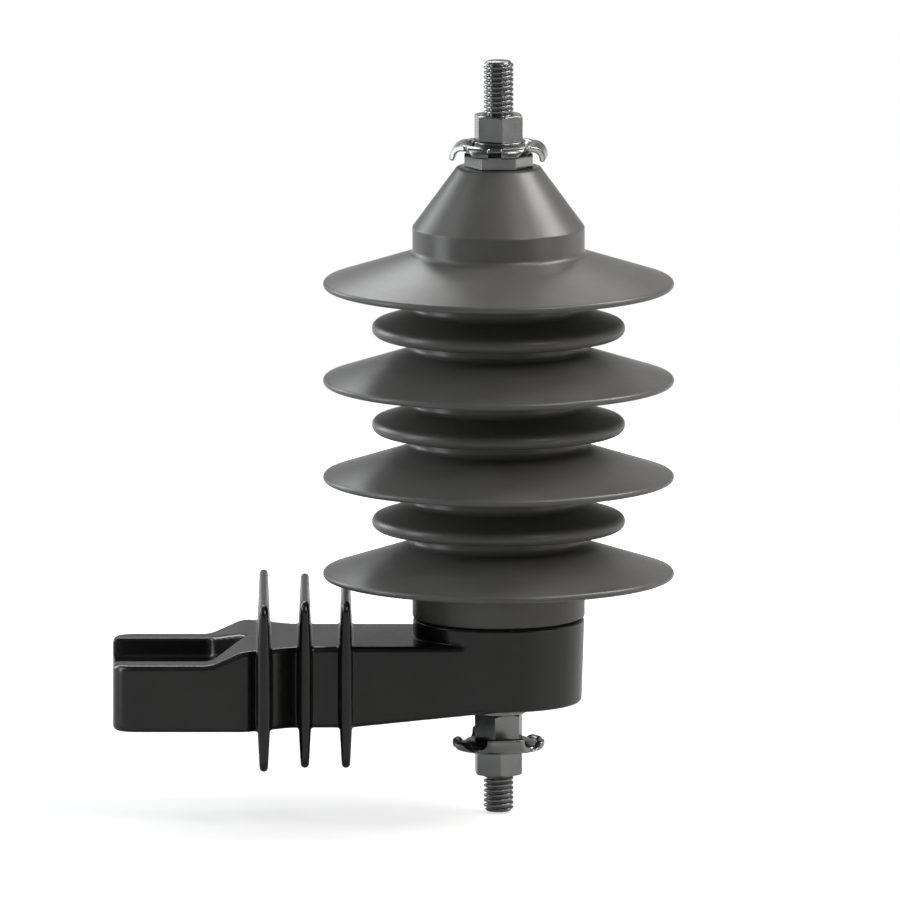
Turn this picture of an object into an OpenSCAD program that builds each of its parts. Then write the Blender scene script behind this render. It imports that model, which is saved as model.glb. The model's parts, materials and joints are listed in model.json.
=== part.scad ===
// Surge arrester, distribution class: a stack of zinc oxide blocks in a
// weather-shed rubber housing, carried by a moulded insulating bracket.
// Millimetres. The origin is the centre of the bracket's bolt hole on its
// underside. +Z runs up along the arrester, +X from the bolt to its axis.

/* [Placement] */
// Distance from the bolt hole to the arrester's axis
axis_x = 108; // [102:1:116]

/* [Housing] */
// Radius of the trunk between the sheds
trunk_r = 27.5; // [27:0.1:28.5]
// Tip radius of a large shed
large_shed_r = 56; // [50:0.5:60]
// Tip radius of a small shed
small_shed_r = 40.4; // [37:0.2:44]
// Rounding of a large shed's rim
large_rim_r = 1.15; // [0.8:0.05:1.4]
// Rounding of a small shed's rim
small_rim_r = 2.35; // [1.8:0.05:2.6]
// Number of small sheds, each between two large ones
small_sheds = 3; // [2:1:4]
// Distance from one large shed to the next
shed_pitch = 31.15; // [30:0.05:33]
// Height of a small shed's rim over the large rim below it
small_shed_rise = 16.9; // [16.5:0.1:17.5]
// Height of the lowest large rim over the housing's foot
first_shed_rise = 14; // [10:0.5:16]
// Slope of the upper face of a shed
shed_top_deg = 18; // [15:0.5:19]
// Slope of the lower face of a shed
shed_under_deg = 6; // [3:0.5:8]
// Fillet between a shed and the trunk
shed_root_r = 2; // [1:0.1:2.2]
// Height of the collar's top edge over the highest large rim
collar_rise = 18.5; // [17:0.5:21]
// Height of the cone over the collar
cone_h = 19.35; // [17:0.05:22]
// Radius of the cone at its top, before its edge is rounded
cone_top_r = 13.4; // [12.4:0.1:14.5]
// Rounding of the cone's top edge
cone_edge_r = 1.4; // [0.8:0.1:1.6]
// Rounding of the edge between the collar and the cone
collar_edge_r = 0.8; // [0.4:0.1:1.2]
// Depth of the shadow gap round the housing's foot
foot_gap_depth = 1.5; // [1:0.1:2.5]
// Height of the shadow gap round the housing's foot
foot_gap_h = 0.45; // [0.3:0.05:0.8]

/* [Block stack] */
// Radius of a zinc oxide block
block_r = 17; // [16:0.1:17.4]
// Height of a zinc oxide block
block_h = 25; // [23:0.5:26.5]
// Number of zinc oxide blocks
block_count = 3; // [3]
// Thickness of the contact discs between the blocks
contact_t = 0.8; // [0.5:0.1:1.2]
// Wall of the fibreglass wrap
wrap_t = 3.3; // [2.5:0.1:3.5]
// Thickness of the flange of an electrode
flange_t = 4; // [3:0.5:5]
// Depth of an electrode's plug inside the wrap
plug_h = 15; // [12:0.5:17]
// Radius of the top electrode's neck
neck_r = 9; // [8:0.1:10]
// Length of the top electrode's neck
neck_h = 13.5; // [12:0.5:15]
// Radius of the cord of the neck's sealing ring
seal_r = 1.3; // [1:0.1:1.5]
// Thickness of the disc spring's metal
spring_t = 1.2; // [0.8:0.1:1.6]
// Height of the disc spring's cone
spring_rise = 1.4; // [0.8:0.1:2]
// Radius of the disc spring's hole
spring_hole_r = 7; // [5:0.5:9]

/* [Threads and nuts] */
// Radius over the crests of the stud thread
thread_r = 4.7625; // [4.7625]
// Radius to the middle of the flanks of the stud thread
thread_pitch_r = 4.25; // [4.25]
// Depth of a stud's thread in its electrode
stud_engage_h = 15; // [10:0.5:18]
// Bevel at the end of a stud
stud_bevel = 1; // [0.6:0.1:1.4]
// Free length of the line stud over its nut
line_stud_free = 17.2; // [14:0.2:24]
// Free length of the earth stud under its nut
earth_stud_free = 11.9; // [9:0.1:18]
// Width across the flats of a nut
nut_af = 14.2875; // [14.2875]
// Height of a nut
nut_h = 8.33; // [8.33]
// Width across the flats of the terminal plate
plate_af = 19.05; // [17.5:0.05:20.6]
// Thickness of the terminal plate
plate_t = 4.4; // [3.5:0.1:5.5]
// Radius of the plain washer
washer_r = 10.3; // [9:0.1:12]
// Thickness of the plain washer
washer_t = 1.4; // [1.2:0.1:2]
// Radius of a spring lock washer
lock_r = 8.6; // [8.2:0.05:8.7]
// Thickness of a spring lock washer
lock_t = 2.4; // [2:0.1:2.8]
// Width of the slit in a spring lock washer
lock_slit = 1.2; // [0.8:0.1:2]
// Thickness of the toothed lock washer
tooth_t = 1.3; // [1:0.1:1.6]
// Number of teeth of the toothed lock washer
tooth_count = 12; // [10:1:14]

/* [Wire clamps] */
// Thickness of the clamp's sheet
clamp_t = 1.8; // [1.4:0.1:2]
// Radius of the clamp's flat pad, under its bend
clamp_pad_r = 9.6; // [9.5:0.1:9.8]
// Height of the raised rim over the pad's lower face
clamp_crest_h = 3.3; // [3:0.1:3.6]
// Distance from the stud's axis to the tip of a wing
clamp_wing_x = 15.4; // [15.2:0.1:17]
// Outer radius of the curl of a wing
clamp_curl_r = 4.2; // [3.8:0.1:4.2]
// Length of the straight tip of a wing below its curl
clamp_tip_h = 0.6; // [0.3:0.1:1.5]
// Half the width of a wing at its root
clamp_root_y = 9; // [8:0.1:10]
// Half the width of a wing at its tip
clamp_tip_y = 5; // [4:0.1:7]
// Radius of the turned-down lips
clamp_lip_r = 14.7; // [14.2:0.1:15.4]
// Half the length of a lip at its bend
clamp_lip_x = 9.7; // [8.5:0.1:10.5]
// Half the length of a lip at its edge
clamp_lip_end_x = 7; // [6:0.1:8]
// Half the width of the notch in a lip
clamp_notch_x = 2.2; // [1.5:0.1:3]

/* [Bracket] */
// Distance from the bolt hole to the bracket's free end
end_x = 15; // [13:0.5:20]
// Half the width of the mounting end
end_half_w = 34.4; // [32:0.2:38]
// Height of the side walls of the mounting end
wall_top = 21.5; // [20:0.5:23]
// Height of the channel's floor
floor_top = 15.2; // [12:0.2:17]
// Half the width of the channel
channel_half_w = 23.5; // [21:0.5:25]
// Distance from the bolt hole to the start of the channel's point
channel_x = 16; // [14:0.2:18]
// Distance from the bolt hole to the channel's point
channel_point_x = 28; // [26:0.2:28.6]
// Radius of the bolt hole
bolt_r = 6.6; // [5.2:0.1:8]
// How much narrower than the boss's foot the arm is, on each side
arm_inset = 1.5; // [0.5:0.25:5]
// Height of the arm
arm_top = 26.2; // [24:0.2:28]
// Distance from the bolt hole to the end of the neck
neck_end_x = 42.5; // [41:0.5:45]
// Distance from the bolt hole to where the underside starts to rise
rise_x = 60.5; // [58:0.5:70]
// Slope of the underside toward the boss
rise_deg = 5.8; // [4:0.1:8]
// Radius of the rounded edges
edge_r = 1.6; // [1:0.1:2]
// Radius of the corners of the free end, seen from above
end_corner_r = 7; // [4:0.5:10]
// How far the boss's top edge stands in from the housing's trunk
boss_inset = 0.1; // [0:0.1:1]
// Draft of the boss, from its top to its foot
boss_draft = 0.9; // [0.2:0.1:1.5]
// Height of the boss's underside
boss_foot_z = 5.06; // [3:0.02:7]
// Height of the housing's seat on the boss
seat_z = 32.2; // [30:0.2:36]
// Rounding of the boss's top edge
boss_edge_r = 1.2; // [0.6:0.1:1.4]

/* [Fins] */
// Distance from the bolt hole to the first fin
first_fin_x = 33.1; // [32.5:0.1:34]
// Distance from one fin to the next
fin_pitch = 13.1; // [12:0.05:14]
// Number of fins
fin_count = 3; // [2:1:4]
// Half the width of the first fin
first_fin_half_w = 40; // [37:0.5:44]
// Half the width of the other fins
fin_half_w = 32; // [30:0.5:36]
// Height of the fins' upper edge
fin_top = 41.75; // [38:0.25:46]
// Depth of the fins' lower edge
fin_depth = 12.2; // [8:0.05:14]
// Thickness of a fin beside the arm
fin_t = 4.3; // [3.6:0.1:5]
// Thickness of a fin along its upper and lower edge
fin_tip_t = 2.75; // [2:0.05:3.5]
// Radius of a fin's corners, seen along the arm
fin_corner_r = 3.8; // [3:0.1:6]
// How far inside the arm's height a fin starts to taper
fin_belly_inset = 4; // [2:0.5:8]

/* [Turns about the axis] */
// Turn of the line nut
line_nut_turn = -21; // [-30:1:30]
// Turn of the line clamp
line_clamp_turn = -5; // [-45:1:45]
// Turn of the bracket nut
bracket_nut_turn = 22.8; // [-30:0.2:30]
// Turn of the earth clamp
earth_clamp_turn = -80; // [-90:1:90]
// Turn of the earth nut
earth_nut_turn = -24.8; // [-30:0.2:30]

/* [Hidden] */

$fn = 96;

// Clearances
fit = 0.1;
thread_fit = 0.05;
stud_clear = 0.45;
seat_clear = 0.7;
overcut = 1;

// The boss follows the housing's trunk, and the arm the boss
boss_top_r = trunk_r - boss_inset;
boss_foot_r = boss_top_r - boss_draft;
arm_half_w = boss_foot_r - arm_inset;

// Heights of the housing's features
top_shed_z = seat_z + first_shed_rise + small_sheds * shed_pitch;
collar_z = top_shed_z + collar_rise;
cone_top_z = collar_z + cone_h;

// The block stack, from the seat upward
wrap_in_r = block_r + fit;
wrap_r = wrap_in_r + wrap_t;
bore_r = wrap_r + fit;
flange_top_z = cone_top_z - neck_h;
plug_foot_z = flange_top_z - flange_t - plug_h;
stack_z = seat_z + flange_t + plug_h;
block_step = block_h + contact_t;
spring_h = spring_t + spring_rise;
spacer_z = stack_z + contact_t + block_count * block_step;
spacer_top_z = plug_foot_z - spring_h;

// The stack of fastenings over the housing, from the cone's top upward
line_clamp_z = cone_top_z + plate_t;
line_lock_z = line_clamp_z + clamp_t;
line_nut_z = line_lock_z + lock_t;
line_end_z = line_nut_z + nut_h + line_stud_free;

// The stack of fastenings under the boss, from its underside downward
bracket_lock_top = boss_foot_z - washer_t;
bracket_nut_top = bracket_lock_top - lock_t;
earth_clamp_top = bracket_nut_top - nut_h;
earth_lock_top = earth_clamp_top - clamp_t;
earth_nut_top = earth_lock_top - tooth_t;
earth_end_z = earth_nut_top - nut_h - earth_stud_free;

stud_hole_r = thread_r + stud_clear;

// Colours
housing_grey = [0.38, 0.38, 0.375];
bracket_black = [0.09, 0.09, 0.09];
bright_steel = [0.72, 0.73, 0.74];
aluminium_grey = [0.8, 0.8, 0.81];
block_grey = [0.2, 0.21, 0.22];
wrap_amber = [0.75, 0.68, 0.42];
seal_black = [0.12, 0.12, 0.12];

// Points of an arc round c from angle a0 to a1
function arc(c, r, a0, a1, steps = 6) =
    [for (i = [0 : steps]) let (a = a0 + (a1 - a0) * i / steps) c + r * [cos(a), sin(a)]];

// Points that round the corner b of the outline a, b, c
function round_corner(a, b, c, r, steps = 6) =
    let (u = (a - b) / norm(a - b), v = (c - b) / norm(c - b),
        half = acos(u * v) / 2,
        middle = b + (u + v) / norm(u + v) * r / sin(half),
        p = b + u * r / tan(half) - middle, q = b + v * r / tan(half) - middle,
        a0 = atan2(p.y, p.x), turn = atan2(p.x * q.y - p.y * q.x, p * q))
    arc(middle, r, a0, a0 + turn, steps);

// Outline of one shed, from the trunk below it, round its rim, to the trunk above
function shed_outline(z, tip_r, rim_r) =
    let (up = [sin(shed_top_deg), cos(shed_top_deg)], down = [sin(shed_under_deg), cos(shed_under_deg)],
        rim = [tip_r - rim_r, z], fillet_x = trunk_r + shed_root_r,
        top = rim + (rim_r + shed_root_r) * up, under = rim - (rim_r + shed_root_r) * down,
        top_run = top.x - fillet_x, under_run = under.x - fillet_x)
    concat(
        arc([fillet_x, under.y + under_run * tan(shed_under_deg)], shed_root_r,
            180, 90 - shed_under_deg, 4),
        arc(rim, rim_r, -90 - shed_under_deg, 90 - shed_top_deg, 8),
        arc([fillet_x, top.y + top_run * tan(shed_top_deg)], shed_root_r,
            270 - shed_top_deg, 180, 4));

function large_shed(i) = shed_outline(seat_z + first_shed_rise + i * shed_pitch, large_shed_r, large_rim_r);
function small_shed(i) = shed_outline(seat_z + first_shed_rise + i * shed_pitch + small_shed_rise,
    small_shed_r, small_rim_r);

function sheds() = concat(
    [for (i = [0 : small_sheds - 1]) each concat(large_shed(i), small_shed(i))],
    large_shed(small_sheds));

module on_axis() { translate([axis_x, 0, 0]) children(); }

// Tube between two heights
module tube(outer, inner, z0, z1) {
    translate([0, 0, z0]) difference() {
        cylinder(r = outer, h = z1 - z0);
        translate([0, 0, -overcut]) cylinder(r = inner, h = z1 - z0 + 2 * overcut);
    }
}

module housing() {
    collar_corner = [trunk_r, collar_z];
    cone_corner = [cone_top_r, cone_top_z];
    color(housing_grey) on_axis() rotate_extrude() polygon(concat(
        [[bore_r, seat_z], [trunk_r - foot_gap_depth, seat_z],
            [trunk_r - foot_gap_depth, seat_z + foot_gap_h], [trunk_r, seat_z + foot_gap_h]],
        sheds(),
        round_corner([trunk_r, top_shed_z], collar_corner, cone_corner, collar_edge_r, 3),
        round_corner(collar_corner, cone_corner, [0, cone_top_z], cone_edge_r),
        [[neck_r + fit, cone_top_z], [neck_r + fit, flange_top_z], [bore_r, flange_top_z]]));
}

module fibreglass_wrap() {
    color(wrap_amber) on_axis() tube(wrap_r, wrap_in_r, seat_z + flange_t, flange_top_z - flange_t);
}

module top_electrode() {
    color(aluminium_grey) on_axis() difference() {
        union() {
            translate([0, 0, plug_foot_z]) cylinder(r = block_r, h = plug_h + flange_t);
            translate([0, 0, flange_top_z - flange_t]) cylinder(r = wrap_r, h = flange_t);
            translate([0, 0, flange_top_z]) cylinder(r = neck_r, h = neck_h);
        }
        translate([0, 0, flange_top_z + neck_h / 2])
            rotate_extrude() translate([neck_r, 0]) circle(r = seal_r, $fn = 24);
        translate([0, 0, cone_top_z - stud_engage_h - overcut])
            cylinder(r = thread_pitch_r + thread_fit, h = stud_engage_h + 2 * overcut);
    }
}

module bottom_electrode() {
    color(aluminium_grey) on_axis() difference() {
        union() {
            translate([0, 0, seat_z]) cylinder(r = wrap_r, h = flange_t);
            translate([0, 0, seat_z]) cylinder(r = block_r, h = flange_t + plug_h);
        }
        translate([0, 0, seat_z - overcut])
            cylinder(r = thread_pitch_r + thread_fit, h = stud_engage_h + 2 * overcut);
    }
}

module varistor_block(i) {
    color(block_grey) on_axis() translate([0, 0, stack_z + contact_t + i * block_step])
        cylinder(r = block_r, h = block_h);
}

module contact_disc(i) {
    color(aluminium_grey) on_axis() translate([0, 0, stack_z + i * block_step])
        cylinder(r = block_r - 1, h = contact_t);
}

module spacer() {
    color(aluminium_grey) on_axis() tube(block_r, thread_r, spacer_z, spacer_top_z);
}

module disc_spring() {
    color(bright_steel) on_axis() translate([0, 0, spacer_top_z]) rotate_extrude()
        polygon([[block_r, 0], [block_r, spring_t], [spring_hole_r, spring_h], [spring_hole_r, spring_rise]]);
}

module neck_seal() {
    color(seal_black) on_axis() translate([0, 0, flange_top_z + neck_h / 2]) rotate_extrude()
        intersection() {
            translate([neck_r, 0]) circle(r = seal_r - fit / 2, $fn = 24);
            translate([neck_r - seal_r, -seal_r]) square([seal_r + fit / 2, 2 * seal_r]);
        }
}

// Hexagon with its top corners turned off at 30 degrees
module hexagon(af, h, turn) {
    corner_r = af / 2 / cos(30);
    bevel_h = (corner_r - af / 2) * tan(30) * 1.6;
    rotate([0, 0, turn]) intersection() {
        cylinder(r = corner_r, h = h, $fn = 6);
        rotate_extrude() polygon([[0, 0], [corner_r + overcut, 0], [corner_r + overcut, h - bevel_h - overcut * tan(30)],
            [corner_r + overcut - (bevel_h + overcut * tan(30)) / tan(30), h], [0, h]]);
    }
}

module nut(turn) {
    difference() {
        hexagon(nut_af, nut_h, turn);
        translate([0, 0, -overcut]) cylinder(r = thread_pitch_r + thread_fit, h = nut_h + 2 * overcut);
    }
}

// Spring lock washer: a ring with a slanted slit
module lock_washer(z, turn) {
    translate([0, 0, z]) difference() {
        cylinder(r = lock_r, h = lock_t);
        translate([0, 0, -overcut]) cylinder(r = stud_hole_r, h = lock_t + 2 * overcut);
        rotate([0, 0, turn]) translate([(lock_r + stud_hole_r) / 2, 0, lock_t / 2]) rotate([25, 0, 0])
            cube([lock_r, lock_slit, 4 * lock_t], center = true);
    }
}

// Plain stud thread between two heights, with the bevelled free end at z_end
module stud(z_inner, z_nut, z_end) {
    way = sign(z_end - z_inner);
    rotate_extrude() polygon([[0, z_inner], [thread_pitch_r, z_inner], [thread_pitch_r, z_nut],
        [thread_r, z_nut], [thread_r, z_end - way * stud_bevel], [thread_r - stud_bevel, z_end], [0, z_end]]);
}

// Wire clamp with its pad's lower face at height 0 and its wings along X
module wire_clamp() {
    rise = clamp_crest_h - clamp_t;
    bend = clamp_t * tan(22.5);
    curl_c = [clamp_wing_x - clamp_curl_r, clamp_crest_h - clamp_curl_r];
    tip_z = curl_c.y - clamp_tip_h;
    lip_c = [clamp_lip_r - clamp_t, clamp_crest_h - clamp_t];
    crest_in = clamp_pad_r + rise - bend;
    // Pad and the raised step round it
    rotate_extrude() polygon([[stud_hole_r, 0], [clamp_pad_r, 0], [clamp_pad_r + rise, rise],
        [clamp_pad_r + rise, clamp_crest_h], [crest_in, clamp_crest_h],
        [clamp_pad_r - bend, clamp_t], [stud_hole_r, clamp_t]]);
    // Wings that curl down over the wires
    difference() {
        intersection() {
            for (side = [0, 180]) rotate([90, 0, side]) linear_extrude(height = 2 * clamp_lip_r, center = true)
                polygon(concat([[0, rise]],
                    arc(curl_c, clamp_curl_r - clamp_t, 90, 0), [[clamp_wing_x - clamp_t, tip_z],
                    [clamp_wing_x, tip_z]],
                    arc(curl_c, clamp_curl_r, 0, 90), [[0, clamp_crest_h]]));
            linear_extrude(height = 4 * clamp_crest_h, center = true) polygon([
                for (s = [1, -1]) each [[s * clamp_wing_x, -s * clamp_tip_y], [s * clamp_wing_x, s * clamp_tip_y],
                    [s * clamp_pad_r, s * clamp_root_y], [-s * clamp_pad_r, s * clamp_root_y]]]);
        }
        translate([0, 0, -overcut]) cylinder(r = crest_in, h = clamp_crest_h + 2 * overcut);
    }
    // Lips turned down in front and behind, each with a notch
    intersection() {
        rotate_extrude() polygon(concat([[crest_in, rise], [lip_c.x, rise], [lip_c.x, 0], [clamp_lip_r, 0]],
            arc(lip_c, clamp_t, 0, 90), [[crest_in, clamp_crest_h]]));
        rotate([90, 0, 0]) linear_extrude(height = 4 * clamp_lip_r, center = true)
            for (s = [1, -1]) polygon([[s * clamp_notch_x, -overcut], [s * clamp_lip_end_x, -overcut],
                [s * clamp_lip_x, clamp_crest_h], [s * clamp_lip_x, clamp_crest_h + overcut],
                [s * clamp_notch_x, clamp_crest_h + overcut]]);
    }
}

module terminal_plate() {
    color(bright_steel) on_axis() translate([0, 0, cone_top_z]) difference() {
        cylinder(r = plate_af / 2 / cos(30), h = plate_t, $fn = 6);
        translate([0, 0, -overcut]) cylinder(r = thread_pitch_r + thread_fit, h = plate_t + 2 * overcut);
    }
}

module line_stud() {
    color(bright_steel) on_axis() stud(cone_top_z - stud_engage_h, line_nut_z + nut_h, line_end_z);
}

module line_clamp() {
    color(bright_steel) on_axis() translate([0, 0, line_clamp_z]) rotate([0, 0, line_clamp_turn]) wire_clamp();
}

module line_lock_washer() { color(bright_steel) on_axis() lock_washer(line_lock_z, 200); }

module line_nut() {
    color(bright_steel) on_axis() translate([0, 0, line_nut_z]) nut(line_nut_turn);
}

// Disc with rounded edges between two heights
module soft_disc(x, y, r, z0, z1) {
    translate([x, y, 0]) rotate_extrude($fn = 32) polygon(concat([[0, z0]],
        arc([r - edge_r, z0 + edge_r], edge_r, -90, 0, 3), arc([r - edge_r, z1 - edge_r], edge_r, 0, 90, 3),
        [[0, z1]]));
}

// The same disc on both sides of the arm, its outside at half_w
module soft_pair(x, half_w, r, z0, z1) {
    for (side = [-1, 1]) soft_disc(x, side * (half_w - r), r, z0, z1);
}

// One fin: thickest at the height of the arm, with rounded edges
module fin(x, half_w) {
    tip_r = fin_tip_t / 2;
    belly = [fin_belly_inset, arm_top - fin_belly_inset];
    hull() translate([x, 0, 0]) for (side = [-1, 1]) {
        translate([0, side * (half_w - fin_t / 2), belly[0]])
            cylinder(r = fin_t / 2, h = belly[1] - belly[0], $fn = 24);
        for (a = [0, 45, 90], up = [0, 1])
            translate([0, side * (half_w - fin_corner_r + (fin_corner_r - tip_r) * cos(a)),
                up ? fin_top - fin_corner_r + (fin_corner_r - tip_r) * sin(a)
                    : -fin_depth + fin_corner_r - (fin_corner_r - tip_r) * sin(a)])
                sphere(r = tip_r, $fn = 16);
    }
}

// Loss of half width along the neck, from the mounting end to the arm
function neck_taper() = (end_half_w - arm_half_w) / (neck_end_x - channel_point_x);

module bracket_boss() {
    rotate_extrude() polygon(concat(
        [[0, boss_foot_z]],
        arc([boss_foot_r - boss_edge_r, boss_foot_z + boss_edge_r], boss_edge_r, -90, 0, 4),
        arc([boss_top_r - boss_edge_r, seat_z - boss_edge_r], boss_edge_r, 0, 90, 4),
        [[0, seat_z]]));
}

module bracket() {
    small_r = 2 * edge_r;
    boss_reach = sqrt(pow(boss_foot_r, 2) - pow(arm_half_w, 2));
    meet_x = axis_x - boss_reach + small_r;
    color(bracket_black) difference() {
        union() {
            hull() {
                soft_pair(end_corner_r - end_x, end_half_w, end_corner_r, 0, wall_top);
                soft_pair(channel_x + 2 * edge_r, end_half_w, small_r, 0, wall_top);
            }
            hull() {
                soft_pair(channel_x + edge_r, end_half_w, small_r, 0, wall_top);
                soft_pair(channel_point_x, end_half_w, small_r, 0, arm_top);
                soft_pair(neck_end_x + edge_r, arm_half_w - edge_r * neck_taper(), small_r, 0, arm_top);
            }
            hull() {
                soft_pair(channel_point_x, arm_half_w, small_r, 0, arm_top);
                soft_pair(rise_x, arm_half_w, small_r, 0, arm_top);
                soft_pair(meet_x, arm_half_w, small_r, (meet_x - rise_x) * tan(rise_deg), arm_top);
            }
            for (i = [0 : fin_count - 1])
                fin(first_fin_x + i * fin_pitch, i == 0 ? first_fin_half_w : fin_half_w);
            on_axis() bracket_boss();
        }
        translate([0, 0, floor_top]) linear_extrude(height = arm_top) polygon(concat(
            [[-2 * end_x, -channel_half_w]],
            round_corner([0, -channel_half_w], [channel_x, -channel_half_w], [channel_point_x, 0], 3, 3),
            round_corner([channel_x, -channel_half_w], [channel_point_x, 0], [channel_x, channel_half_w], 4, 4),
            round_corner([channel_point_x, 0], [channel_x, channel_half_w], [0, channel_half_w], 3, 3),
            [[-2 * end_x, channel_half_w]]));
        translate([0, 0, -overcut]) cylinder(r = bolt_r, h = floor_top + 2 * overcut);
        on_axis() {
            translate([0, 0, -overcut]) cylinder(r = washer_r + seat_clear, h = boss_foot_z + overcut);
            translate([0, 0, -overcut]) cylinder(r = stud_hole_r, h = seat_z + 2 * overcut);
        }
    }
}

module earth_stud() {
    color(bright_steel) on_axis() stud(seat_z + stud_engage_h, earth_nut_top - nut_h, earth_end_z);
}

module bracket_washer() {
    color(bright_steel) on_axis() tube(washer_r, stud_hole_r, bracket_lock_top, boss_foot_z);
}

module bracket_lock_washer() { color(bright_steel) on_axis() lock_washer(bracket_nut_top, 70); }

module bracket_nut() {
    color(bright_steel) on_axis() translate([0, 0, earth_clamp_top]) nut(bracket_nut_turn);
}

module earth_clamp() {
    color(bright_steel) on_axis() translate([0, 0, earth_clamp_top]) rotate([0, 0, earth_clamp_turn])
        mirror([0, 0, 1]) wire_clamp();
}

module earth_lock_washer() {
    color(bright_steel) on_axis() translate([0, 0, earth_nut_top]) difference() {
        cylinder(r = lock_r, h = tooth_t);
        translate([0, 0, -overcut]) cylinder(r = stud_hole_r, h = tooth_t + 2 * overcut);
        for (i = [0 : tooth_count - 1]) rotate([0, 0, i * 360 / tooth_count])
            translate([lock_r, 0, -overcut]) cylinder(r = 0.9, h = tooth_t + 2 * overcut, $fn = 16);
    }
}

module earth_nut() {
    color(bright_steel) on_axis() translate([0, 0, earth_nut_top]) mirror([0, 0, 1]) nut(-earth_nut_turn);
}

housing();
fibreglass_wrap();
top_electrode();
bottom_electrode();
varistor_block(0);  // varistor_block_1
varistor_block(1);  // varistor_block_2
varistor_block(2);  // varistor_block_3
contact_disc(0);  // contact_disc_1
contact_disc(1);  // contact_disc_2
contact_disc(2);  // contact_disc_3
contact_disc(3);  // contact_disc_4
spacer();
disc_spring();
neck_seal();
line_stud();
terminal_plate();
line_clamp();
line_lock_washer();
line_nut();
bracket();
earth_stud();
bracket_washer();
bracket_lock_washer();
bracket_nut();
earth_clamp();
earth_lock_washer();
earth_nut();
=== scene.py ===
"""Surge arrester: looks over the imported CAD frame. Sizes in millimetres, as in part.scad, until a mesh is made."""
import json
import math

import bpy
import numpy as np
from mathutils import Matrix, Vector


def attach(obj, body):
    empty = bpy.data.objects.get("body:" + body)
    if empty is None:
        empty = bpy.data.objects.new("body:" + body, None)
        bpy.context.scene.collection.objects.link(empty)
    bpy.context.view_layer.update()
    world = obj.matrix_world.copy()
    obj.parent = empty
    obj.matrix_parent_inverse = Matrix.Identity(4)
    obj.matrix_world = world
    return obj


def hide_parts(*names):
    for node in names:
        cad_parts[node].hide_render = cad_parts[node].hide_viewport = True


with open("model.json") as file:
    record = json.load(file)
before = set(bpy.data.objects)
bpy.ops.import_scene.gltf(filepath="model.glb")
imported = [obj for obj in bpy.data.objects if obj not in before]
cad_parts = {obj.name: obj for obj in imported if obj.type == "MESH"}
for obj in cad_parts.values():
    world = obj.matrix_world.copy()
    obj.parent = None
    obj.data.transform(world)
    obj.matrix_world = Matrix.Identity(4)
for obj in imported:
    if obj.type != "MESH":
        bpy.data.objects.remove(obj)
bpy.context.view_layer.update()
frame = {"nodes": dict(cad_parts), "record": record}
MM = 0.001
AXIS_X = 108.0


# Mesh tools

def add_object(name, verts, faces, normals=None, sharp_deg=None):
    mesh = bpy.data.meshes.new(name)
    mesh.from_pydata([tuple(v) for v in np.asarray(verts, float) * MM], [], [tuple(int(i) for i in f) for f in faces])
    mesh.validate()
    mesh.polygons.foreach_set("use_smooth", [True] * len(mesh.polygons))
    if sharp_deg is not None:
        mesh.set_sharp_from_angle(angle=math.radians(sharp_deg))
    if normals is not None:
        mesh.normals_split_custom_set_from_vertices([tuple(n) for n in np.asarray(normals, float)])
    mesh.update()
    obj = bpy.data.objects.new(name, mesh)
    bpy.context.scene.collection.objects.link(obj)
    return obj


def gradient(field, p, eps=0.02):
    g = np.empty_like(p)
    for i in range(3):
        d = np.zeros(3)
        d[i] = eps
        a, b = p + d, p - d
        g[:, i] = (field(a[:, 0], a[:, 1], a[:, 2]) - field(b[:, 0], b[:, 1], b[:, 2])) / (2 * eps)
    return g


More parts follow.
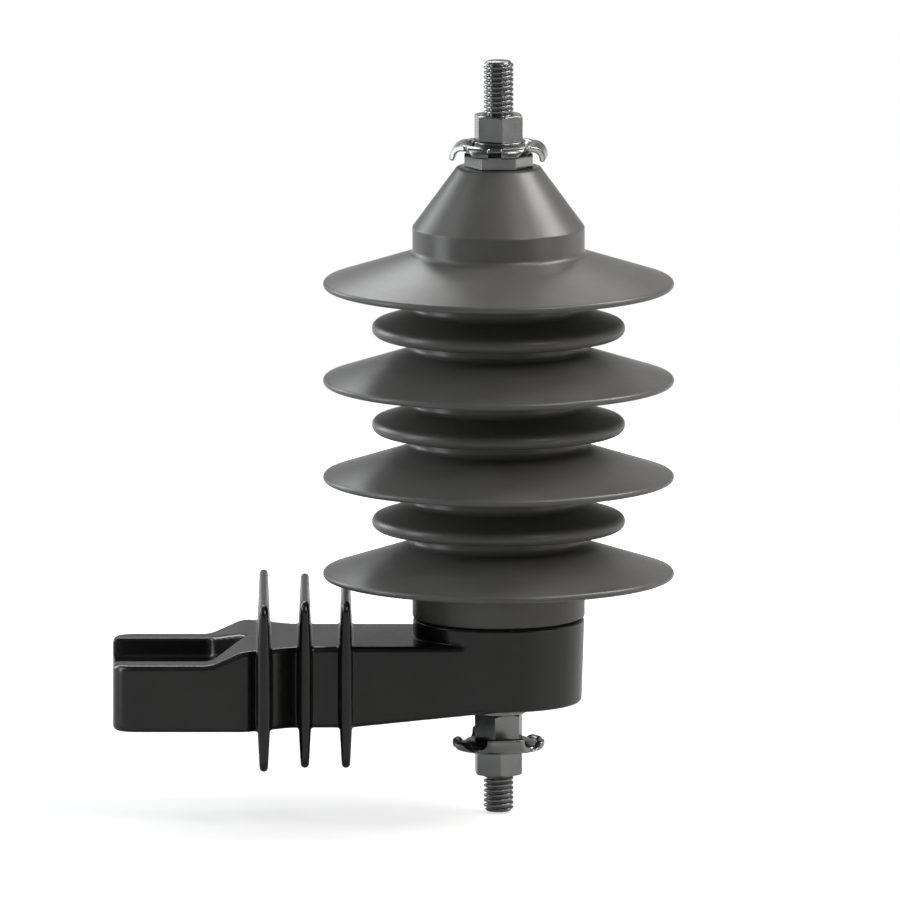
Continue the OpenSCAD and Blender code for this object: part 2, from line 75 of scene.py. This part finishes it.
def surface(name, field, low, high, step):
    """The zero surface of field(x, y, z) as quads, one vertex a cell, drawn onto the field and with its normals."""
    low = np.array(low, float)
    step = np.ones(3) * step
    count = np.ceil((np.array(high) - low) / step).astype(int) + 1
    ax = [low[i] + step[i] * np.arange(count[i]) for i in range(3)]
    f = field(ax[0][:, None, None], ax[1][None, :, None], ax[2][None, None, :])
    f = np.ascontiguousarray(np.broadcast_to(f, tuple(count)), dtype=np.float64)
    inside = f < 0
    corners = [(i, j, k) for i in (0, 1) for j in (0, 1) for k in (0, 1)]

    def at(a, c):
        return a[c[0]:a.shape[0] - 1 + c[0], c[1]:a.shape[1] - 1 + c[1], c[2]:a.shape[2] - 1 + c[2]]

    total = sum(at(inside, c).astype(np.int8) for c in corners)
    mixed = (total > 0) & (total < 8)
    cell = np.argwhere(mixed)
    ids = np.full(mixed.shape, -1, dtype=np.int64)
    ids[mixed] = np.arange(len(cell))
    acc = np.zeros((len(cell), 3))
    num = np.zeros(len(cell))
    for axis in range(3):
        for c in corners:
            if c[axis]:
                continue
            c2 = list(c)
            c2[axis] = 1
            a = f[tuple((cell + c).T)]
            b = f[tuple((cell + c2).T)]
            cross = (a < 0) != (b < 0)
            t = np.where(cross, a / np.where(cross, a - b, 1), 0)
            pos = np.tile(np.array(c, float), (len(cell), 1))
            pos[:, axis] += t
            acc += pos * cross[:, None]
            num += cross
    p = low + (cell + acc / num[:, None]) * step
    quads = []
    for axis in range(3):
        o1, o2 = (axis + 1) % 3, (axis + 2) % 3
        a = [slice(None)] * 3
        b = [slice(None)] * 3
        a[axis] = slice(0, -1)
        b[axis] = slice(1, None)
        first = inside[tuple(a)]
        idx = np.argwhere(first != inside[tuple(b)])
        idx = idx[(idx[:, o1] > 0) & (idx[:, o2] > 0) & (idx[:, o1] < count[o1] - 1) & (idx[:, o2] < count[o2] - 1)]
        flip = ~first[tuple(idx.T)]
        d1 = np.eye(3, dtype=int)[o1]
        d2 = np.eye(3, dtype=int)[o2]
        q = np.stack([ids[tuple((idx - d1 - d2).T)], ids[tuple((idx - d2).T)],
                      ids[tuple(idx.T)], ids[tuple((idx - d1).T)]], axis=1)
        q[flip] = q[flip][:, ::-1]
        quads.append(q)
    for _ in range(2):
        g = gradient(field, p)
        move = field(p[:, 0], p[:, 1], p[:, 2])[:, None] * g / np.maximum((g * g).sum(1), 1e-6)[:, None]
        p = p - np.clip(move, -0.4 * step, 0.4 * step)
    g = gradient(field, p)
    n = g / np.maximum(np.linalg.norm(g, axis=1), 1e-9)[:, None]
    return add_object(name, p, np.concatenate(quads), n)


def smooth_min(a, b, k):
    h = np.clip(0.5 + 0.5 * (b - a) / k, 0, 1)
    return b + (a - b) * h - k * h * (1 - h)


def smooth_max(a, b, k):
    return -smooth_min(-a, -b, k)


def soft_meet(a, b, r):
    """Inside both a and b, with the edge between them rounded to radius r."""
    return np.sqrt(np.maximum(a + r, 0) ** 2 + np.maximum(b + r, 0) ** 2) + np.minimum(np.maximum(a, b) + r, 0) - r


def to_path(u, v, pts):
    """Distance from (u, v) to a line of points."""
    best = None
    for (x0, y0), (x1, y1) in zip(pts[:-1], pts[1:]):
        dx, dy = x1 - x0, y1 - y0
        t = np.clip(((u - x0) * dx + (v - y0) * dy) / (dx * dx + dy * dy), 0, 1)
        d = np.hypot(u - x0 - t * dx, v - y0 - t * dy)
        best = d if best is None else np.minimum(best, d)
    return best


def arc(cx, cy, r, a0, a1, steps):
    return [(cx + r * math.cos(math.radians(a0 + (a1 - a0) * i / steps)),
             cy + r * math.sin(math.radians(a0 + (a1 - a0) * i / steps))) for i in range(steps + 1)]


def lathe(name, outline, segments=224, sharp_deg=35):
    """A closed outline of (radius, height) turned about the arrester's axis."""
    verts = []
    for i in range(segments):
        a = 2 * math.pi * i / segments
        verts += [(AXIS_X + r * math.cos(a), r * math.sin(a), z) for r, z in outline]
    n = len(outline)
    faces = [(i * n + j, ((i + 1) % segments) * n + j, ((i + 1) % segments) * n + (j + 1) % n, i * n + (j + 1) % n)
             for i in range(segments) for j in range(n)]
    return add_object(name, verts, faces, sharp_deg=sharp_deg)


# Housing: the same sheds as part.scad, with finer fillets

SEAT_Z, TRUNK_R, FILLET = 32.2, 27.5, 2.0
CONE_TOP_Z, COLLAR_Z, TOP_RIM_Z = 177.5, 158.15, 139.65
CONE_TOP_R, CONE_EDGE, COLLAR_EDGE = 13.4, 1.4, 0.8
LARGE_SHEDS, SHED_Z, SHED_PITCH, SMALL_RISE = 4, 46.2, 31.15, 16.9
LARGE_R, LARGE_RIM, SMALL_R, SMALL_RIM = 56.0, 1.15, 40.4, 2.35
BORE_R, BORE_TOP_Z, NECK_R = 20.6, 164.0, 9.1
GAP_R, GAP_H = 26.0, 0.45


def shed(z, tip_r, rim_r, top_deg=18.0, under_deg=6.0):
    s, c = math.sin(math.radians(top_deg)), math.cos(math.radians(top_deg))
    su, cu = math.sin(math.radians(under_deg)), math.cos(math.radians(under_deg))
    x = tip_r - rim_r
    fx = TRUNK_R + FILLET
    tx, tz = x + (rim_r + FILLET) * s, z + (rim_r + FILLET) * c
    ux, uz = x - (rim_r + FILLET) * su, z - (rim_r + FILLET) * cu
    return (arc(fx, uz + (ux - fx) * su / cu, FILLET, 180, 90 - under_deg, 8)
            + arc(x, z, rim_r, -90 - under_deg, 90 - top_deg, 14)
            + arc(fx, tz + (tx - fx) * s / c, FILLET, 270 - top_deg, 180, 8))


def corner(a, b, c, r, steps=6):
    """Points that round the corner b of a, b, c."""
    a, b, c = (np.array(p, float) for p in (a, b, c))
    u, v = (a - b) / np.linalg.norm(a - b), (c - b) / np.linalg.norm(c - b)
    half = math.acos(float(u @ v)) / 2
    mid = b + (u + v) / np.linalg.norm(u + v) * r / math.sin(half)
    p, q = b + u * r / math.tan(half) - mid, b + v * r / math.tan(half) - mid
    a0 = math.degrees(math.atan2(p[1], p[0]))
    turn = math.degrees(math.atan2(p[0] * q[1] - p[1] * q[0], float(p @ q)))
    return arc(mid[0], mid[1], r, a0, a0 + turn, steps)


def make_housing():
    """The moulding's outline, from the gap over the bracket up the sheds, collar and cone, and down the bore."""
    out = [(BORE_R, SEAT_Z), (GAP_R, SEAT_Z), (GAP_R, SEAT_Z + GAP_H), (27.1, SEAT_Z + GAP_H), (27.4, SEAT_Z + 0.55),
           (TRUNK_R, SEAT_Z + 0.85)]
    for i in range(LARGE_SHEDS):
        out += shed(SHED_Z + SHED_PITCH * i, LARGE_R, LARGE_RIM)
        if i < LARGE_SHEDS - 1:
            out += shed(SHED_Z + SHED_PITCH * i + SMALL_RISE, SMALL_R, SMALL_RIM)
    out += corner((TRUNK_R, TOP_RIM_Z), (TRUNK_R, COLLAR_Z), (CONE_TOP_R, CONE_TOP_Z), COLLAR_EDGE)
    out += corner((TRUNK_R, COLLAR_Z), (CONE_TOP_R, CONE_TOP_Z), (0, CONE_TOP_Z), CONE_EDGE)
    out += [(NECK_R, CONE_TOP_Z), (NECK_R, BORE_TOP_Z), (BORE_R, BORE_TOP_Z)]
    return lathe("housing_moulding", out)


# Bracket: one moulding, every edge and root filleted

END_X, END_HALF, WALL_TOP, ARM_TOP = -15.0, 34.4, 21.5, 26.2
ARM_HALF, RISE_X, RISE = 25.0, 60.5, math.tan(math.radians(5.8))
CHANNEL_HALF, CHANNEL_X, POINT_X, FLOOR_TOP = 23.5, 16.0, 28.0, 15.2
NECK_END_X, BOLT_R = 42.5, 6.6
BOSS_FOOT_R, BOSS_TOP_R, BOSS_FOOT_Z = 26.5, 27.4, 5.06
SPOT_R, STUD_HOLE_R = 11.0, 5.2125
FIN_TOP, FIN_FOOT, FIN_CORNER, BELLY = 41.75, -12.2, 3.8, 4.0
FIN_HALF_T, FIN_TIP_HALF_T = 2.15, 1.375
FINS = ((33.1, 40.0), (46.2, 32.0), (59.3, 32.0))


def fin_field(x, ya, z, x0, half):
    """One fin at x0: thickest beside the arm, thinner to its upper and lower edge."""
    above = (z - (ARM_TOP - BELLY)) / (FIN_TOP - FIN_TIP_HALF_T - ARM_TOP + BELLY)
    below = (BELLY - z) / (BELLY - FIN_FOOT - FIN_TIP_HALF_T)
    t = FIN_HALF_T - (FIN_HALF_T - FIN_TIP_HALF_T) * np.clip(np.maximum(above, below), 0, 1) + 0 * ya
    qy = ya - (half - FIN_CORNER)
    qz = np.abs(z - (FIN_TOP + FIN_FOOT) / 2) - ((FIN_TOP - FIN_FOOT) / 2 - FIN_CORNER)
    edge = np.hypot(np.maximum(qy, 0), np.maximum(qz, 0)) + np.minimum(np.maximum(qy, qz), 0) - FIN_CORNER
    return np.hypot(np.maximum(edge + t, 0), x - x0) - t


def bracket_field(x, y, z):
    ya = np.abs(y)
    taper = (END_HALF - ARM_HALF) / (NECK_END_X - POINT_X)
    slant = (ya - END_HALF + taper * (x - POINT_X)) * math.cos(math.atan(taper))
    side = smooth_max(ya - END_HALF, smooth_min(slant, ya - ARM_HALF, 2.0), 1.0)
    plan = np.maximum(soft_meet(side, END_X - x, 7.0), x - AXIS_X)
    pitch = math.atan2(ARM_TOP - WALL_TOP, POINT_X - 1.6 - CHANNEL_X)
    ramp_top = (z - WALL_TOP) * math.cos(pitch) - (x - CHANNEL_X) * math.sin(pitch)
    top = smooth_max(z - ARM_TOP, smooth_min(z - WALL_TOP, ramp_top, 1.0), 1.0)
    arm = soft_meet(plan, np.maximum(top, np.maximum(x - RISE_X, 0) * RISE - z), 1.6)
    rr = np.hypot(x - AXIS_X, y)
    draft = (BOSS_TOP_R - BOSS_FOOT_R) / (SEAT_Z - BOSS_FOOT_Z)
    boss = soft_meet(rr - (BOSS_FOOT_R + (z - BOSS_FOOT_Z) * draft), np.maximum(z - SEAT_Z, BOSS_FOOT_Z - z), 1.2)
    body = smooth_min(arm, boss, 0.9)
    for x0, half in FINS:
        body = smooth_min(body, fin_field(x, ya, z, x0, half), 1.0)
    point = POINT_X - CHANNEL_X
    yv = np.sqrt(y * y + 5.0) - 1.2
    cut_plan = smooth_max(ya - CHANNEL_HALF, ((x - CHANNEL_X) * CHANNEL_HALF + (yv - CHANNEL_HALF) * point)
                          / math.hypot(CHANNEL_HALF, point), 2.5)
    cut = soft_meet(cut_plan, FLOOR_TOP - z, 1.2)
    body = smooth_max(body, -cut, 0.9)
    body = smooth_max(body, BOLT_R - np.hypot(x, y), 0.8)
    body = np.maximum(body, -np.maximum(rr - SPOT_R, z - BOSS_FOOT_Z))
    return np.maximum(body, STUD_HOLE_R - rr)


def make_bracket():
    return surface("bracket_moulding", bracket_field, (-17, -42, -14), (137, 42, 44), (0.56, 0.84, 0.84))


# Metal pieces

NUT_AF, NUT_H, PLATE_AF, PLATE_H = 14.2875, 8.33, 19.05, 4.4
LOCK_R, LOCK_H, TOOTH_H, WASHER_HOLE_R = 8.6, 2.4, 1.3, 5.2
LINE_CLAMP_Z, EARTH_CLAMP_Z, EARTH_WASHER_Z = 181.9, -7.07, -10.17
PITCH, THREAD_R, THREAD_DEPTH, STUD_R, TIP_R = 1.5875, 4.7625, 0.92, 4.25, 3.75


def local(field, z0, turn_deg=0.0, flip=False):
    """A field given about its own axis, set on the arrester's axis at z0."""
    c, s = math.cos(math.radians(turn_deg)), math.sin(math.radians(turn_deg))

    def placed(x, y, z):
        u, v, w = x - AXIS_X, y, z - z0
        return field(u * c + v * s, v * c - u * s, -w if flip else w)
    return placed


def hexagon(u, v, af):
    """Distance to a hexagon with a corner on +u."""
    d = None
    for a in (30, 90, 150):
        e = np.abs(u * math.cos(math.radians(a)) + v * math.sin(math.radians(a))) - af / 2
        d = e if d is None else np.maximum(d, e)
    return d


def nut_field(u, v, w):
    r = np.hypot(u, v)
    body = smooth_max(hexagon(u, v, NUT_AF), np.maximum(w - NUT_H, -w), 0.25)
    body = smooth_max(body, (r - 7.35) * 0.5 + (w - NUT_H) * 0.866, 0.2)
    bore = np.maximum(4.3, 4.95 - np.minimum(w, NUT_H - w))
    return smooth_max(body, bore - r, 0.15)


def plate_field(u, v, w):
    r = np.hypot(u, v)
    body = smooth_max(hexagon(u, v, PLATE_AF), np.maximum(w - PLATE_H, -w), 0.35)
    return smooth_max(body, 4.35 - r, 0.15)


def lock_field(u, v, w):
    """A split ring whose slit is cut at a slant."""
    r = np.hypot(u, v)
    ring = soft_meet(np.maximum(r - LOCK_R, WASHER_HOLE_R - r), np.maximum(w - LOCK_H, -w), 0.25)
    slit = np.abs(v * 0.906 - (w - LOCK_H / 2) * 0.423) - 0.6
    return np.maximum(ring, -np.maximum(slit, -u))


def tooth_field(u, v, w):
    """A ring with twelve teeth on its rim."""
    r = np.hypot(u, v)
    a = np.arctan2(v, u)
    rim = 8.2 + 0.4 * np.tanh(3 * np.cos(12 * a))
    return soft_meet(np.maximum(r - rim, WASHER_HOLE_R - r), np.maximum(w - TOOTH_H, -w), 0.2)


def clamp_field(u, v, w):
    """One stamping of even thickness: a dish, two wings that curl down, and two notched lips."""
    r = np.hypot(u, v)
    ua, va = np.abs(u), np.abs(v)
    h, top = 0.9, 3.3
    mid = top - h
    dish = to_path(r, w, [(5.9, h), (9.2, h), (9.9, 1.1), (10.9, 2.1), (11.4, mid), (12.0, mid)]) - h
    dish = np.maximum(dish, WASHER_HOLE_R - r)
    wing = to_path(ua, w, [(10.9, mid)] + arc(11.2, -0.9, 3.3, 90, 0, 8) + [(14.5, -1.0)]) - h
    wing = smooth_max(wing, (va - 5.0 - (15.4 - ua) * 0.69) * 0.82, 0.5)
    lip = to_path(r, w, [(11.2, mid)] + arc(12.9, 1.5, 0.9, 90, 0, 4) + [(13.8, 0.9)]) - h
    lip = smooth_max(lip, (ua - 7.0 - w * 0.82) * 0.77, 0.4)
    lip = smooth_max(lip, 2.2 - ua, 0.4)
    return smooth_min(smooth_min(dish, np.maximum(wing, 9.6 - r), 0.7), lip, 0.7)


# Mesh, node, field, foot, turn, hung upside down, half width, lowest and highest z searched, mesh step
METAL = [
    ("terminal_plate_hex", "terminal_plate", plate_field, CONE_TOP_Z, 0, False, 12, 176.9, 182.5, 0.3),
    ("line_clamp_stamping", "line_clamp", clamp_field, LINE_CLAMP_Z, -5, False, 17, 179, 186, 0.3),
    ("line_lock_washer_ring", "line_lock_washer", lock_field, 183.7, 200, False, 10, 183.2, 186.6, 0.22),
    ("line_nut_hex", "line_nut", nut_field, 186.1, -21, False, 10, 185.6, 195, 0.25),
    ("bracket_nut_hex", "bracket_nut", nut_field, EARTH_CLAMP_Z, 22.8, False, 10, -7.6, 1.8, 0.25),
    ("bracket_lock_washer_ring", "bracket_lock_washer", lock_field, 1.26, 70, False, 10, 0.7, 4.2, 0.22),
    ("earth_clamp_stamping", "earth_clamp", clamp_field, EARTH_CLAMP_Z, -80, True, 17, -11, -4, 0.3),
    ("earth_lock_washer_ring", "earth_lock_washer", tooth_field, EARTH_WASHER_Z, 0, False, 10, -10.7, -8.3, 0.22),
    ("earth_nut_hex", "earth_nut", nut_field, EARTH_WASHER_Z, -24.8, True, 10, -19, -9.6, 0.25),
]


def make_metal():
    made = []
    for mesh, node, field, foot, turn, flip, half, low, high, step in METAL:
        corners = (AXIS_X - half, -half, low), (AXIS_X + half, half, high)
        made.append((surface(mesh, local(field, foot, turn, flip), *corners, step), node))
    made.append((make_stud("line_stud_thread", 162.5, 193.0, 211.63), "line_stud"))
    made.append((make_stud("earth_stud_thread", 47.2, -17.0, -30.4), "earth_stud"))
    return made


def make_stud(name, z_inner, z_thread, z_end):
    """A stud whose free end carries a right-hand UNC thread, with a bevelled tip."""
    way = 1.0 if z_end > z_thread else -1.0
    around, per = 48, 14
    rows = [z_inner, z_thread - way * 0.01]
    steps = int(abs(z_end - z_thread) / PITCH * per)
    rows += list(np.linspace(z_thread, z_end, steps))
    verts = []
    for i, z in enumerate(rows):
        for j in range(around):
            a = 2 * math.pi * j / around
            phase = (z / PITCH - a / (2 * math.pi)) % 1.0
            flank = abs(phase - 0.5) * 2
            fall = min(max((flank - 0.30) / 0.60, 0), 1)
            r = THREAD_R - THREAD_DEPTH * fall * fall * (3 - 2 * fall)
            if i < 2:
                r = STUD_R
            r = min(r, TIP_R + abs(z_end - z))
            verts.append((AXIS_X + r * math.cos(a), r * math.sin(a), z))
    n = len(rows)
    faces = [(i * around + j, i * around + (j + 1) % around, (i + 1) * around + (j + 1) % around, (i + 1) * around + j)
             for i in range(n - 1) for j in range(around)]
    faces.append(tuple(range(around - 1, -1, -1)))
    faces.append(tuple((n - 1) * around + j for j in range(around)))
    if way < 0:
        faces = [f[::-1] for f in faces]
    return add_object(name, verts, faces, sharp_deg=50)


# Materials

def material(name):
    mat = bpy.data.materials.new(name)
    mat.use_nodes = True
    tree = mat.node_tree
    shader = tree.nodes["Principled BSDF"]
    coord = tree.nodes.new("ShaderNodeTexCoord")
    return mat, tree, shader, coord.outputs["Object"]


def noise(tree, coord, scale, detail=3.0, stretch=None):
    if stretch:
        mapping = tree.nodes.new("ShaderNodeMapping")
        mapping.inputs["Scale"].default_value = stretch
        tree.links.new(coord, mapping.inputs["Vector"])
        coord = mapping.outputs["Vector"]
    tex = tree.nodes.new("ShaderNodeTexNoise")
    tex.inputs["Scale"].default_value = scale
    tex.inputs["Detail"].default_value = detail
    tree.links.new(coord, tex.inputs["Vector"])
    return tex.outputs["Fac"]


def ramp(tree, fac, stops):
    node = tree.nodes.new("ShaderNodeValToRGB")
    el = node.color_ramp.elements
    while len(el) < len(stops):
        el.new(0.5)
    for e, (pos, col) in zip(el, stops):
        e.position = pos
        e.color = (*col, 1.0) if isinstance(col, tuple) else (col, col, col, 1.0)
    tree.links.new(fac, node.inputs["Fac"])
    return node.outputs["Color"]


def bump(tree, shader, height, strength, distance):
    node = tree.nodes.new("ShaderNodeBump")
    node.inputs["Strength"].default_value = strength
    node.inputs["Distance"].default_value = distance
    tree.links.new(height, node.inputs["Height"])
    tree.links.new(node.outputs["Normal"], shader.inputs["Normal"])


def grained(name, dark, light, rough, metallic=0.0, colour_scale=90.0, grain_scale=900.0, grain=0.08, stretch=None,
            specular=0.5):
    """A material whose colour, roughness and relief all vary a little over the surface."""
    mat, tree, shader, coord = material(name)
    tree.links.new(ramp(tree, noise(tree, coord, colour_scale, 4.0, stretch), [(0.35, dark), (0.65, light)]),
                   shader.inputs["Base Color"])
    tree.links.new(ramp(tree, noise(tree, coord, grain_scale * 0.4, 3.0, stretch), [(0.3, rough[0]), (0.7, rough[1])]),
                   shader.inputs["Roughness"])
    bump(tree, shader, noise(tree, coord, grain_scale, 2.0, stretch), grain, 0.0003)
    shader.inputs["Metallic"].default_value = metallic
    shader.inputs["Specular IOR Level"].default_value = specular
    return mat


def make_materials():
    return {
        "housing_rubber": grained("housing_rubber", (0.084, 0.083, 0.079), (0.098, 0.097, 0.093), (0.33, 0.38), 0.0,
                                  60.0, 1400.0, 0.06, None, 0.45),
        "bracket_plastic": grained("bracket_plastic", (0.0070, 0.0070, 0.0066), (0.0092, 0.0092, 0.0087),
                                   (0.20, 0.26), 0.0, 70.0, 1100.0, 0.03, None, 0.5),
        "bright_steel": grained("bright_steel", (0.236, 0.241, 0.239), (0.270, 0.276, 0.273), (0.21, 0.27), 1.0,
                                160.0, 500.0, 0.012),
        "electrode_aluminium": grained("electrode_aluminium", (0.66, 0.67, 0.68), (0.78, 0.79, 0.8), (0.28, 0.42), 1.0,
                                       120.0, 900.0, 0.1, (1.0, 1.0, 6.0)),
        "zinc_oxide": grained("zinc_oxide", (0.045, 0.048, 0.052), (0.075, 0.08, 0.086), (0.55, 0.75), 0.0,
                              260.0, 2200.0, 0.2),
        "fibreglass": grained("fibreglass", (0.48, 0.42, 0.22), (0.6, 0.53, 0.3), (0.3, 0.45), 0.0,
                              140.0, 700.0, 0.25, (1.0, 1.0, 5.0)),
        "seal_rubber": grained("seal_rubber", (0.018, 0.018, 0.018), (0.028, 0.028, 0.028), (0.5, 0.65)),
    }


# Camera and light, as in the photograph

VIEW_DEG, VIEW_WIDTH, VIEW_CENTRE = 8.95, 0.2871, (0.09251, 0.0, 0.08599)


def make_camera():
    target = Vector(VIEW_CENTRE)
    el = math.radians(VIEW_DEG)
    data = bpy.data.cameras.new("camera")
    data.type = "ORTHO"
    data.ortho_scale = VIEW_WIDTH
    cam = bpy.data.objects.new("camera", data)
    bpy.context.scene.collection.objects.link(cam)
    cam.location = target + 2.0 * Vector((0, -math.cos(el), math.sin(el)))
    cam.rotation_euler = (math.radians(90 - VIEW_DEG), 0, 0)
    data.clip_end = 20.0
    bpy.context.scene.camera = cam


def area(name, place, size, watts, colour):
    data = bpy.data.lights.new(name, "AREA")
    data.shape = "RECTANGLE"
    data.size, data.size_y = size
    data.energy = watts
    data.color = colour
    lamp = bpy.data.objects.new(name, data)
    bpy.context.scene.collection.objects.link(lamp)
    lamp.location = place
    lamp.rotation_euler = (Vector(MIDDLE) - Vector(place)).to_track_quat("-Z", "Y").to_euler()
    lamp.visible_camera = False
    return lamp


def make_light():
    """A white background for the camera, in a dim grey room with lamps.

    Glossy rays see the background too, behind the object: white near and below the horizon, dimmer above it.
    """
    scene = bpy.context.scene
    world = bpy.data.worlds.new("studio")
    scene.world = world
    world.use_nodes = True
    tree = world.node_tree
    tree.nodes.clear()
    out = tree.nodes.new("ShaderNodeOutputWorld")
    path = tree.nodes.new("ShaderNodeLightPath")
    white = tree.nodes.new("ShaderNodeBackground")
    white.inputs["Color"].default_value = (1, 1, 1, 1)
    room = tree.nodes.new("ShaderNodeBackground")
    room.inputs["Color"].default_value = (1, 1, 1, 1)
    coord = tree.nodes.new("ShaderNodeTexCoord")
    split = tree.nodes.new("ShaderNodeSeparateXYZ")
    tree.links.new(coord.outputs["Generated"], split.inputs["Vector"])

    def spread(axis, low, high, start=0.0, end=1.0, kind="SMOOTHSTEP"):
        node = tree.nodes.new("ShaderNodeMapRange")
        node.interpolation_type = kind
        for name, value in zip(("From Min", "From Max", "To Min", "To Max"), (low, high, start, end)):
            node.inputs[name].default_value = value
        tree.links.new(split.outputs[axis], node.inputs["Value"])
        return node.outputs["Result"]

    def join(kind, a, b):
        node = tree.nodes.new("ShaderNodeMath")
        node.operation = kind
        tree.links.new(a, node.inputs[0])
        tree.links.new(b, node.inputs[1])
        return node.outputs["Value"]

    walls = []
    for axis, (low, high) in ROOM_WALLS.items():
        walls.append(ramp(tree, spread(axis, -1.0, 1.0, kind="LINEAR"), [(0.0, low), (0.5, 0.0), (1.0, high)]))
    tree.links.new(join("ADD", join("ADD", walls[0], walls[1]), walls[2]), room.inputs["Strength"])
    behind = join("MULTIPLY", spread("Y", *BACKDROP_FROM), spread("Z", *BACKDROP_TOP))
    seen = join("MAXIMUM", path.outputs["Is Camera Ray"], path.outputs["Is Transmission Ray"])
    mirrored = join("MULTIPLY", path.outputs["Is Glossy Ray"], behind)
    mix = tree.nodes.new("ShaderNodeMixShader")
    tree.links.new(join("MAXIMUM", seen, mirrored), mix.inputs["Fac"])
    tree.links.new(room.outputs["Background"], mix.inputs[1])
    tree.links.new(white.outputs["Background"], mix.inputs[2])
    tree.links.new(mix.outputs["Shader"], out.inputs["Surface"])
    for lamp in LAMPS:
        area(*lamp)
    scene.view_settings.view_transform = "Standard"


def make_floor():
    """A pale grey floor just under the earth stud. The camera sees it lifted to white, and the shadow stays on it."""
    bpy.ops.mesh.primitive_circle_add(vertices=96, radius=FLOOR_R, fill_type="NGON", location=(0.1, 0, FLOOR_Z))
    floor = bpy.context.object
    floor.name = "floor"
    mat, tree, shader, coord = material("floor_paint")
    shader.inputs["Base Color"].default_value = (0.5, 0.5, 0.5, 1)
    shader.inputs["Roughness"].default_value = 0.9
    shader.inputs["Specular IOR Level"].default_value = 0.0
    shader.inputs["Emission Color"].default_value = (1, 1, 1, 1)
    path = tree.nodes.new("ShaderNodeLightPath")
    away = tree.nodes.new("ShaderNodeVectorMath")
    away.operation = "LENGTH"
    tree.links.new(coord, away.inputs[0])
    fade = tree.nodes.new("ShaderNodeMapRange")
    for name, value in zip(("From Min", "From Max", "To Min", "To Max"), FLOOR_FADE + FLOOR_LIFT):
        fade.inputs[name].default_value = value
    tree.links.new(away.outputs["Value"], fade.inputs["Value"])
    lift = tree.nodes.new("ShaderNodeMath")
    lift.operation = "MULTIPLY"
    tree.links.new(path.outputs["Is Camera Ray"], lift.inputs[0])
    tree.links.new(fade.outputs["Result"], lift.inputs[1])
    tree.links.new(lift.outputs["Value"], shader.inputs["Emission Strength"])
    floor.data.materials.append(mat)


ROOM_WALLS = {"X": (0.10, 0.10), "Y": (0.05, 0.10), "Z": (0.20, 0.15)}
BACKDROP_FROM, BACKDROP_TOP = (0.5, 1.0), (-0.06, 0.10, 1.0, 0.16)
FLOOR_R, FLOOR_Z = 0.8, -0.0310
FLOOR_FADE, FLOOR_LIFT = (0.15, 0.45), (0.66, 1.0)
MIDDLE = (0.1, 0.0, 0.09)
COOL, COOLEST, NEUTRAL = (0.96, 0.98, 1.0), (0.95, 0.98, 1.0), (1.0, 1.0, 1.0)
WARM, WARMEST = (1.0, 0.99, 0.97), (1.0, 0.985, 0.95)
# Name, place, size, watts, colour: all face the middle, and the four low panels serve the metal's reflections
LAMPS = [
    ("left_low", (-1.05, -0.15, 0.30), (0.35, 0.9), 5.6, COOL),
    ("left_high", (-0.85, -0.1, 0.85), (0.4, 0.6), 1.5, COOL),
    ("right_high", (0.88, 0.12, 0.88), (0.40, 0.6), 10.2, WARMEST),
    ("right_side", (1.1, 0.15, 0.35), (0.3, 0.8), 0.8, WARMEST),
    ("right_front_high", (0.75, -0.75, 0.95), (0.35, 0.6), 6.0, WARM),
    ("back_left_side", (-0.9, 0.75, 0.45), (0.5, 0.7), 6.0, COOLEST),
    ("back_high_left", (-0.28, 0.97, 0.85), (0.95, 0.4), 3.3, COOL),
    ("back_high", (0.05, 1.0, 0.9), (0.7, 0.35), 2.2, NEUTRAL),
    ("low_front", (-0.15, -1.0, 0.03), (1.4, 0.18), 0.40, NEUTRAL),
    ("low_right", (1.1, -0.5, 0.0), (0.5, 0.25), 0.70, WARM),
    ("low_back_left", (-0.75, 0.5, 0.02), (0.4, 0.16), 0.12, NEUTRAL),
    ("low_back_right", (0.98, 0.5, 0.02), (0.4, 0.16), 0.22, WARM),
]

make_camera()
mats = make_materials()
for sub in frame["record"]["subparts"]:
    node = frame["nodes"][sub["node"]]
    for s in node.material_slots:
        s.material = mats[sub["material_slot"]]

pieces = [(make_housing(), "housing"), (make_bracket(), "bracket")] + make_metal()
slots = {sub["node"]: sub["material_slot"] for sub in frame["record"]["subparts"]}
for obj, node in pieces:
    obj.data.materials.append(mats[slots[node]])
    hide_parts(node)
    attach(obj, "root")
make_light()
make_floor()
